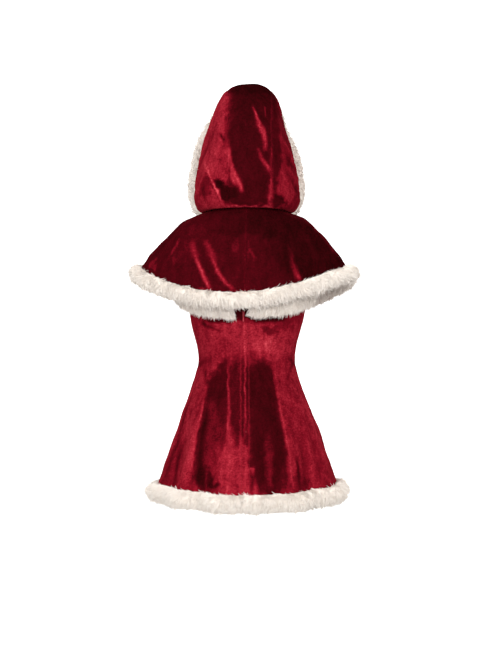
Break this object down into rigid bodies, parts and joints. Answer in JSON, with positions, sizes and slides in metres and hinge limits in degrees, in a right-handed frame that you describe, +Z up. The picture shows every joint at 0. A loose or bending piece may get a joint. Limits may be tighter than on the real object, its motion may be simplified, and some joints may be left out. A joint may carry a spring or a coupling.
{
  "type": "hooded costume dress",
  "caption": "Strapless flared mini dress with a hooded short cape, both edged in thick plush, in worn form.",
  "frame": {"origin": "on the wearer's axis at the waist, where the dress is held", "axes": "+Z up along the wearer's axis, -Y the wearer's front, +X the wearer's left"},
  "size_m": [0.5532, 0.3862, 1.0239],
  "materials": {
    "velvet": "velvet pile",
    "plush": "long plush pile",
    "zip_cloth": "woven tape",
    "zip_metal": "enamelled",
    "hook_metal": "satin"
  },
  "bodies": {
    "garment": {"dress_back_left": "velvet", "dress_back_right": "velvet", "dress_side_back_left": "velvet", "dress_side_back_right": "velvet", "dress_side_front_left": "velvet", "dress_side_front_right": "velvet", "dress_front": "velvet", "dress_top_trim": "plush", "dress_hem_trim": "plush", "cape_left": "velvet", "cape_right": "velvet", "cape_hem_trim": "plush", "hood_left": "velvet", "hood_centre": "velvet", "hood_right": "velvet", "hood_trim": "plush", "zip_tape_left": "zip_cloth", "zip_tape_right": "zip_cloth", "zip_slider": "zip_metal", "neck_hook": "hook_metal", "neck_eye": "hook_metal"},
    "pull": {"zip_pull": "zip_metal"}
  },
  "joints": [
    {"name": "pull_swing", "type": "hinge", "parent": "garment", "child": "pull", "pos_m": [0.0083, 0.0888, 0.1129], "axis": [1, 0, 0], "range_deg": [0, 110]}
  ]
}
